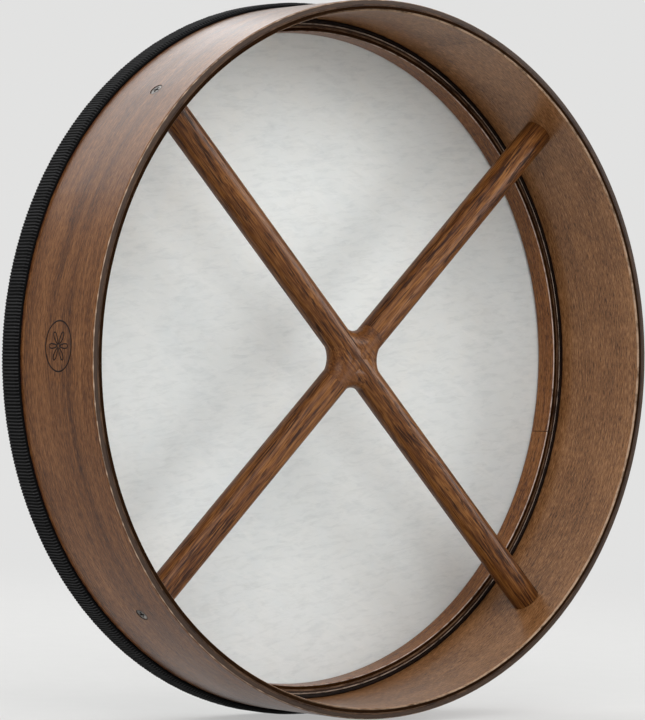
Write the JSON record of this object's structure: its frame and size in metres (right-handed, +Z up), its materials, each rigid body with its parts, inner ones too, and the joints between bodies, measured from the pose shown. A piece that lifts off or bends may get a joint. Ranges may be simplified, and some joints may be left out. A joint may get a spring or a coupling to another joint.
{
  "type": "bodhran",
  "caption": "Frame drum with a shallow laminated wooden shell, one goatskin head fixed by tacks under ribbed black tape, an inner hoop and a crossed rod handle in the open back.",
  "frame": {"origin": "middle of the drum's bounding box, on the drum axis halfway between the open back and the outside of the head", "axes": "+Y along the drum axis from the open back to the head, +Z up with the crossbar rods at 45 degrees to it, +X to the right seen from the open back"},
  "size_m": [0.4628, 0.0938, 0.4628],
  "materials": {
    "shell_veneer": "satin lacquer",
    "pale_core": "satin lacquer",
    "shell_veneer_inside": "satin lacquer",
    "hoop_strip": "satin lacquer",
    "hoop_veneer": "satin lacquer",
    "hoop_core": "satin lacquer",
    "hoop_veneer_inside": "satin lacquer",
    "goatskin": "matt",
    "tack_steel": "blued steel",
    "ribbed_tape": "woven",
    "rod_wood": "satin lacquer",
    "rod_wood_lapped": "satin lacquer",
    "screw_steel": "blackened steel"
  },
  "bodies": {
    "root": {"shell_outer_ply": "shell_veneer", "shell_core_ply": "pale_core", "shell_inner_ply": "shell_veneer_inside", "hoop_backing_strip": "hoop_strip", "hoop_outer_ply": "hoop_veneer", "hoop_core_ply": "hoop_core", "hoop_inner_ply": "hoop_veneer_inside", "drumhead": "goatskin", "skin_tacks": "tack_steel", "trim_tape": "ribbed_tape", "crossbar_through": "rod_wood", "crossbar_lapped": "rod_wood_lapped", "crossbar_screws": "screw_steel"}
  },
  "joints": []
}
